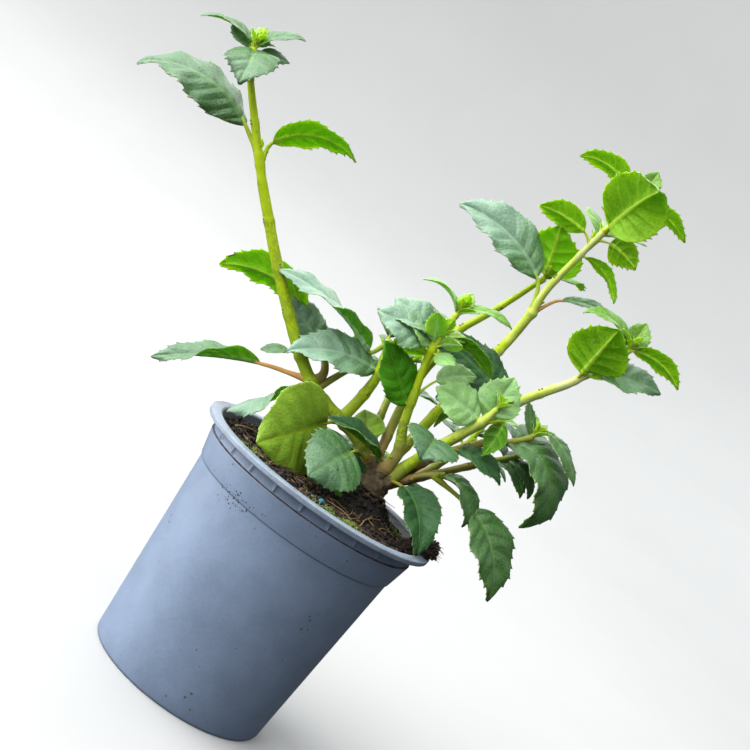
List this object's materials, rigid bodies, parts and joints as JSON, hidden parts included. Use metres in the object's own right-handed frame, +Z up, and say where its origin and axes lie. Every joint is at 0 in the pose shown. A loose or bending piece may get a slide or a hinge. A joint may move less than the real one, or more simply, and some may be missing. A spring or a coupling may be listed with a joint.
{
  "type": "potted hardy fuchsia",
  "caption": "Young hardy fuchsia in a round nursery pot of compost, with arching green stems and paired toothed leaves.",
  "frame": {"origin": "middle of the pot's flat underside", "axes": "+Z up, +X to the right of the picture, +Y away from the viewer"},
  "size_m": [0.2129, 0.112, 0.2358],
  "materials": {
    "pot": "satin moulded plastic, blue-grey",
    "compost": "dark, rough and fibrous",
    "bark": "rough young bark",
    "stem": "smooth green stem",
    "leaf": "soft leaf with a slight sheen"
  },
  "bodies": {
    "root": {"pot": "pot", "compost": "compost", "crown": "bark", "left_stem": "stem", "middle_left_stem": "stem", "centre_stem": "stem", "right_front_stem": "stem", "right_stem": "stem", "low_right_stem": "stem", "right_top_stem": "stem", "tall_stem": "stem", "rear_stem": "stem", "back_left_stem": "stem", "back_right_stem": "stem", "left_top_shoot": "leaf", "left_twig": "leaf", "left_inner_twig": "leaf", "middle_left_shoot": "leaf", "centre_shoot": "leaf", "right_front_shoot": "leaf", "right_shoot": "leaf", "low_right_shoot": "leaf", "low_right_twig": "leaf", "right_top_shoot": "leaf", "tall_shoot": "leaf", "rear_shoot": "leaf", "back_left_shoot": "leaf", "back_right_shoot": "leaf", "long_left_leaf": "leaf", "small_left_leaf": "leaf", "rim_left_leaf": "leaf", "broad_front_leaf": "leaf", "front_leaf": "leaf", "strap_leaf": "leaf", "olive_leaf": "leaf", "butterfly_leaf": "leaf", "mid_right_leaf": "leaf", "rim_right_leaf": "leaf", "low_back_leaf": "leaf", "low_back_left_leaf": "leaf", "low_back_right_leaf": "leaf", "dark_rear_leaf": "leaf"}
  },
  "joints": []
}
